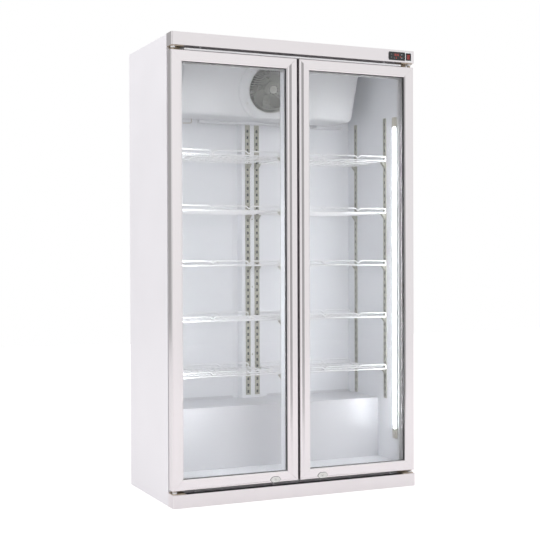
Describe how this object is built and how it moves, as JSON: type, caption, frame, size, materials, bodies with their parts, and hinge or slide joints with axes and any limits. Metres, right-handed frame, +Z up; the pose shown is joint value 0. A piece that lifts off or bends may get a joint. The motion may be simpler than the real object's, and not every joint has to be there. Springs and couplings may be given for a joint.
{
  "type": "glass door merchandiser",
  "caption": "Upright display refrigerator with hinged double-glazed doors, wire shelves, lit interior, fan-cooled evaporator, and a machine bay behind a louvred back.",
  "frame": {"origin": "on the floor, under the middle of the outside box", "axes": "+Z up, the doors face -Y, +X to the right of someone facing the doors"},
  "size_m": [1.2, 0.602, 2.035],
  "materials": {
    "white_painted_sheet": "satin",
    "galvanised_sheet": "satin",
    "foam": "matte",
    "white_liner": "satin",
    "liner_metal": "gloss",
    "frame_plastic": "satin",
    "satin_metal": "satin",
    "black_plastic": "satin",
    "zinc_steel": "satin",
    "white_moulding": "satin",
    "guard_wire": "satin",
    "motor_paint": "satin",
    "fin_aluminium": "satin",
    "pilaster_zinc": "satin",
    "shelf_wire": "gloss",
    "lamp_diffuser": "satin",
    "lamp_ends": "satin",
    "black_paint": "satin",
    "copper": "satin",
    "grille_paint": "satin",
    "black_rubber": "matte",
    "fan_plastic": "satin",
    "red_rocker": "gloss",
    "button_grey": "satin",
    "door_aluminium": "satin",
    "door_glass": "polished",
    "spacer_black": "satin",
    "gasket_grey": "matte",
    "lock_chrome": "polished"
  },
  "bodies": {
    "cabinet": {"side_panel_left": "white_painted_sheet", "side_panel_right": "white_painted_sheet", "back_panel": "galvanised_sheet", "top_panel": "white_painted_sheet", "base_pan": "galvanised_sheet", "foam_insulation": "foam", "inner_liner": "white_liner", "compressor_housing": "liner_metal", "door_surround": "frame_plastic", "centre_mullion": "white_liner", "top_fascia": "satin_metal", "kick_plate": "satin_metal", "controller_case": "black_plastic", "switch_bezel": "black_plastic", "hinge_brackets": "zinc_steel", "evaporator_cover": "white_moulding", "fan_shroud": "white_moulding", "fan_guard": "guard_wire", "evaporator_fan_motor": "motor_paint", "evaporator_coil": "fin_aluminium", "drip_tray": "white_moulding", "rear_post": "white_liner", "shelf_pilasters": "pilaster_zinc", "shelf_clips": "pilaster_zinc", "shelves_level_1": "shelf_wire", "shelves_level_2": "shelf_wire", "shelves_level_3": "shelf_wire", "shelves_level_4": "shelf_wire", "shelves_level_5": "shelf_wire", "led_lamps": "lamp_diffuser", "led_holders": "lamp_ends", "compressor": "black_paint", "condenser": "black_paint", "condenser_fan_motor": "motor_paint", "refrigerant_pipes": "copper", "rear_grille": "grille_paint", "cable_gland": "black_rubber"},
    "door_left": {"door_left_top_rail": "door_aluminium", "door_left_bottom_rail": "door_aluminium", "door_left_hinge_stile": "door_aluminium", "door_left_handle_stile": "door_aluminium", "door_left_glass": "door_glass", "door_left_spacer": "spacer_black", "door_left_gasket": "gasket_grey", "lock_plate_left": "lock_chrome"},
    "door_right": {"door_right_top_rail": "door_aluminium", "door_right_bottom_rail": "door_aluminium", "door_right_hinge_stile": "door_aluminium", "door_right_handle_stile": "door_aluminium", "door_right_glass": "door_glass", "door_right_spacer": "spacer_black", "door_right_gasket": "gasket_grey", "lock_plate_right": "lock_chrome"},
    "lock_left": {"lock_barrel_left": "lock_chrome"},
    "lock_right": {"lock_barrel_right": "lock_chrome"},
    "cold_fan": {"evaporator_fan": "fan_plastic"},
    "bay_fan": {"condenser_fan": "fan_plastic"},
    "rocker": {"power_rocker": "red_rocker"},
    "key_up": {"button_up": "button_grey"},
    "key_down": {"button_down": "button_grey"}
  },
  "joints": [
    {"name": "door_left_hinge", "type": "hinge", "parent": "cabinet", "child": "door_left", "pos_m": [-0.585, -0.273, 0], "axis": [0, 0, -1], "range_deg": [0, 110]},
    {"name": "door_right_hinge", "type": "hinge", "parent": "cabinet", "child": "door_right", "pos_m": [0.585, -0.273, 0], "axis": [0, 0, 1], "range_deg": [0, 110]},
    {"name": "lock_left_turn", "type": "hinge", "parent": "door_left", "child": "lock_left", "pos_m": [-0.117, -0.29, 0.0865], "axis": [0, 1, 0], "range_deg": [0, 90]},
    {"name": "lock_right_turn", "type": "hinge", "parent": "door_right", "child": "lock_right", "pos_m": [0.117, -0.29, 0.0865], "axis": [0, -1, 0], "range_deg": [0, 90]},
    {"name": "cold_fan_spin", "type": "hinge", "parent": "cabinet", "child": "cold_fan", "pos_m": [0, -0.0009, 1.867], "axis": [0, -0.9413, -0.3375], "continuous": true},
    {"name": "bay_fan_spin", "type": "hinge", "parent": "cabinet", "child": "bay_fan", "pos_m": [-0.06, 0.175, 0.178], "axis": [0, 1, 0], "continuous": true},
    {"name": "rocker_tip", "type": "hinge", "parent": "cabinet", "child": "rocker", "pos_m": [0.568, -0.293, 2.006], "axis": [-1, 0, 0], "range_deg": [0, 16]},
    {"name": "key_up_press", "type": "slide", "parent": "cabinet", "child": "key_up", "axis": [0, 1, 0], "range_m": [0, 0.0012], "stiffness_N_per_m": 200},
    {"name": "key_down_press", "type": "slide", "parent": "cabinet", "child": "key_down", "axis": [0, 1, 0], "range_m": [0, 0.0012], "stiffness_N_per_m": 200}
  ]
}
